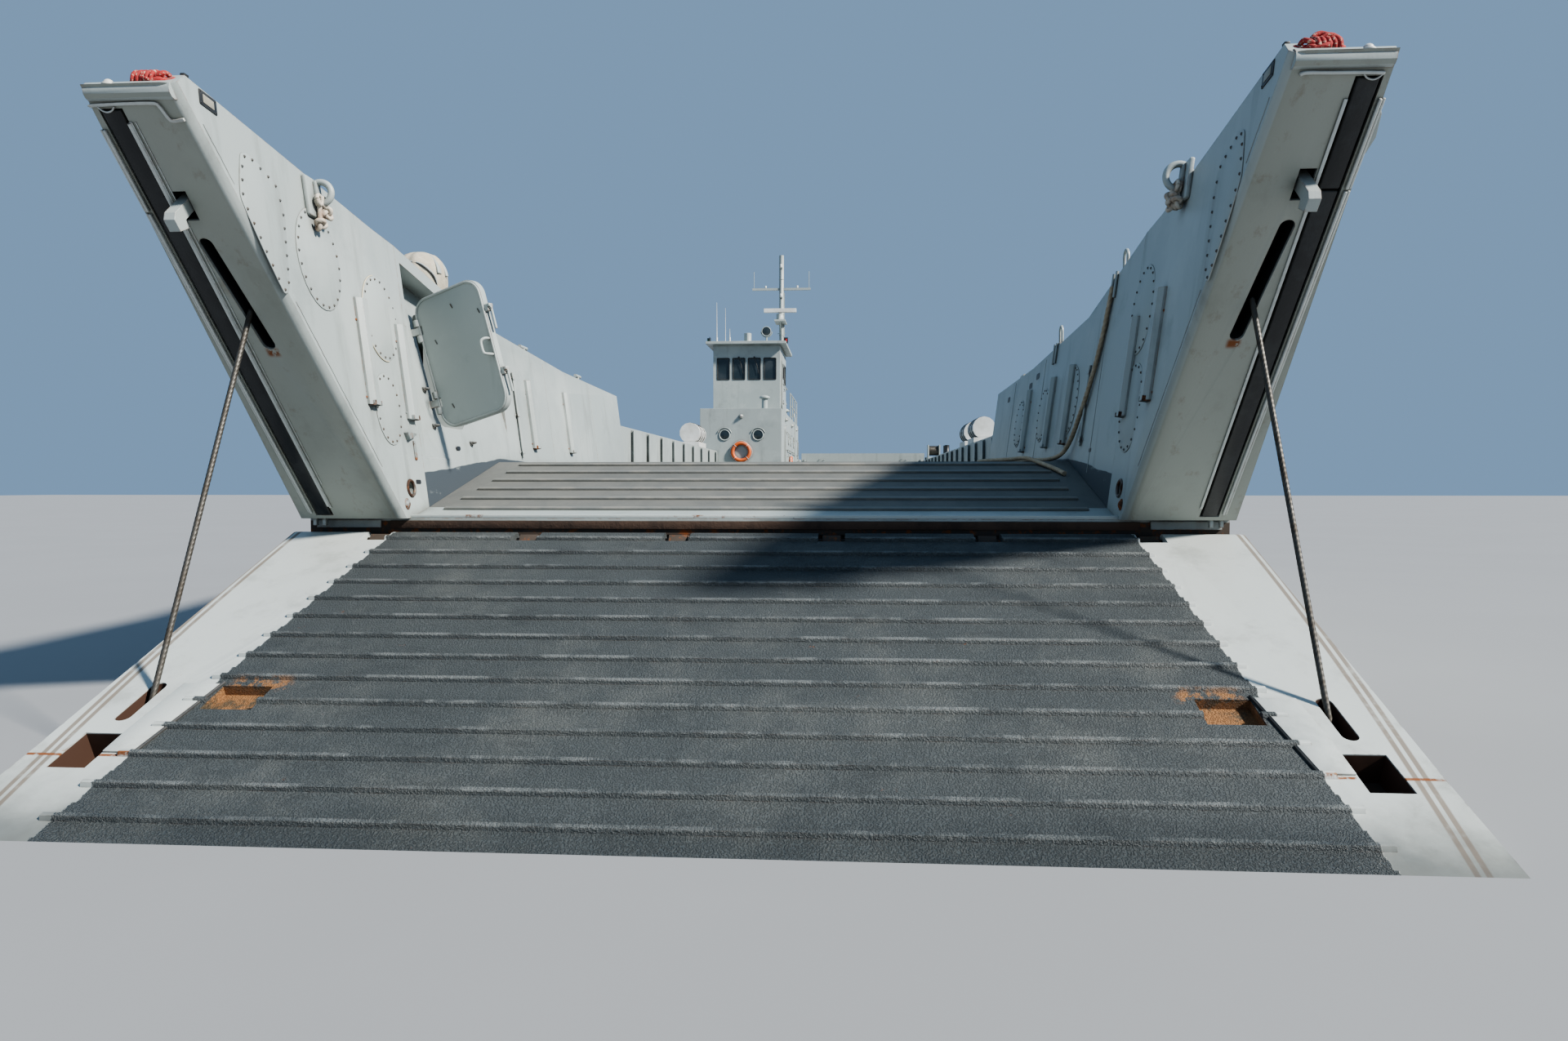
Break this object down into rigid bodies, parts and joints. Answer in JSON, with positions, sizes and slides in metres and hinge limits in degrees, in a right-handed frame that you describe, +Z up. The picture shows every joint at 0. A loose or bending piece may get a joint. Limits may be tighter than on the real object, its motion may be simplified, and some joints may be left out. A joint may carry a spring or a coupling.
{
  "type": "military utility landing craft, 1:2 scale model",
  "caption": "Flat-bottomed steel landing craft with a bow ramp between raked horns, open cargo well, side deckhouse and pilothouse, stern gate and twin ducted screws.",
  "frame": {"origin": "middle of the flat bottom, half way between the foot of the stern slope and the bow", "axes": "+X forward towards the ramp, +Y to port, +Z up"},
  "size_m": [20.8866, 4.48, 5.535],
  "materials": {
    "hull_paint": "haze grey paint with a dark non-skid deck, black boot top and red-brown bottom, rust streaks",
    "haze_paint": "satin haze grey paint with chips, streaks and rust",
    "ramp_deck": "dark blue-grey non-skid panel with light grey edge strips, wet and rusty in places",
    "worn_steel": "worn grey paint over rust",
    "wire_rope": "greased wire rope, dull",
    "shaft_steel": "turned steel",
    "seal_rubber": "black seal rubber, scuffed",
    "tan_rope": "laid fibre rope, weathered tan",
    "canvas": "beige canvas cover with dark stains",
    "bronze": "cast bronze, polished blades",
    "bottom_paint": "matt red-brown bottom paint",
    "black_paint": "black paint, chipped",
    "white_plastic": "weathered white glass-fibre shell"
  },
  "bodies": {
    "craft": {"hull": "hull_paint", "bow_sill": "worn_steel", "horn_port": "haze_paint", "horn_starboard": "haze_paint", "bow_side_port": "haze_paint", "bow_side_starboard": "haze_paint", "ramp_seal_port": "seal_rubber", "ramp_seal_starboard": "seal_rubber", "ramp_dog_port": "worn_steel", "ramp_dog_starboard": "worn_steel", "wall_hoop_fore": "worn_steel", "wall_hoop_aft": "worn_steel", "hawser": "tan_rope", "covered_lamp": "canvas", "ramp_rope_port": "wire_rope", "ramp_rope_starboard": "wire_rope", "wing_wall_port": "haze_paint", "wing_wall_starboard": "haze_paint", "quarter_block": "haze_paint", "gate_hinge": "worn_steel", "deckhouse": "haze_paint", "deckhouse_rail": "haze_paint", "pilothouse": "haze_paint", "pilothouse_roof": "haze_paint", "mast_tabernacle": "haze_paint", "exhaust_stack": "haze_paint", "shaft_strut_port": "bottom_paint", "shaft_strut_starboard": "bottom_paint", "nozzle_port": "bottom_paint", "nozzle_starboard": "bottom_paint", "skeg": "bottom_paint", "raft_canister_fore": "white_plastic", "raft_canister_aft": "white_plastic", "raft_canister_starboard": "white_plastic", "anchor_winch": "haze_paint", "anchor": "black_paint", "bitts_port_fore": "black_paint", "bitts_port_aft": "black_paint", "bitts_starboard_fore": "black_paint"},
    "ramp": {"ramp": "ramp_deck"},
    "bow_door": {"bow_door": "haze_paint"},
    "house_door_fore": {"deckhouse_door_fore": "haze_paint"},
    "house_door_aft": {"deckhouse_door_aft": "haze_paint"},
    "pilot_door_port": {"pilothouse_door_port": "haze_paint"},
    "pilot_door_starboard": {"pilothouse_door_starboard": "haze_paint"},
    "mast": {"mast": "haze_paint"},
    "scanner": {"radar_scanner": "white_plastic"},
    "stern_gate": {"stern_gate": "haze_paint"},
    "screw_port": {"propeller_port": "bronze", "propeller_shaft_port": "shaft_steel"},
    "screw_starboard": {"propeller_starboard": "bronze", "propeller_shaft_starboard": "shaft_steel"},
    "rudder_port": {"rudder_port": "bottom_paint"},
    "rudder_starboard": {"rudder_starboard": "bottom_paint"}
  },
  "joints": [
    {"name": "ramp_hinge", "type": "hinge", "parent": "craft", "child": "ramp", "pos_m": [9.55, 0, 1.015], "axis": [0, -1, 0], "range_deg": [-6, 67.3], "deforming": ["ramp_rope_port", "ramp_rope_starboard"]},
    {"name": "bow_door_hinge", "type": "hinge", "parent": "craft", "child": "bow_door", "pos_m": [9.14, -1.1343, 1.3813], "axis": [0, -0.2516, 0.9678], "range_deg": [-40, 110]},
    {"name": "house_door_fore_hinge", "type": "hinge", "parent": "craft", "child": "house_door_fore", "pos_m": [-4.55, -0.8147, 1.8], "axis": [0, 0, -1], "range_deg": [0, 110]},
    {"name": "house_door_aft_hinge", "type": "hinge", "parent": "craft", "child": "house_door_aft", "pos_m": [-7.7, -0.8147, 1.8], "axis": [0, 0, -1], "range_deg": [0, 110]},
    {"name": "pilot_door_port_hinge", "type": "hinge", "parent": "craft", "child": "pilot_door_port", "pos_m": [-4.875, -0.8997, 2.9], "axis": [0, 0, -1], "range_deg": [0, 110]},
    {"name": "pilot_door_starboard_hinge", "type": "hinge", "parent": "craft", "child": "pilot_door_starboard", "pos_m": [-4.875, -2.1003, 2.9], "axis": [0, 0, 1], "range_deg": [0, 110]},
    {"name": "mast_hinge", "type": "hinge", "parent": "craft", "child": "mast", "pos_m": [-6.475, -1.025, 2.735], "axis": [0, -1, 0], "range_deg": [0, 70]},
    {"name": "scanner_turn", "type": "hinge", "parent": "mast", "child": "scanner", "pos_m": [-6.1, -1.025, 4.4], "axis": [0, 0, 1], "continuous": true},
    {"name": "stern_gate_hinge", "type": "hinge", "parent": "craft", "child": "stern_gate", "pos_m": [-9.7, 0.54, 1.315], "axis": [0, -1, 0], "range_deg": [0, 90]},
    {"name": "screw_port_turn", "type": "hinge", "parent": "craft", "child": "screw_port", "pos_m": [-8.625, 0.975, 0.36], "axis": [1, 0, 0], "continuous": true},
    {"name": "screw_starboard_turn", "type": "hinge", "parent": "craft", "child": "screw_starboard", "pos_m": [-8.625, -0.975, 0.36], "axis": [1, 0, 0], "continuous": true},
    {"name": "rudder_port_stock", "type": "hinge", "parent": "craft", "child": "rudder_port", "pos_m": [-9.175, 0.975, 0.4], "axis": [0, 0, 1], "range_deg": [-35, 35]},
    {"name": "rudder_starboard_stock", "type": "hinge", "parent": "craft", "child": "rudder_starboard", "pos_m": [-9.175, -0.975, 0.4], "axis": [0, 0, 1], "range_deg": [-35, 35]}
  ],
  "couplings": [
    {"joint": "rudder_starboard_stock", "follows": "rudder_port_stock", "ratio": 1}
  ]
}
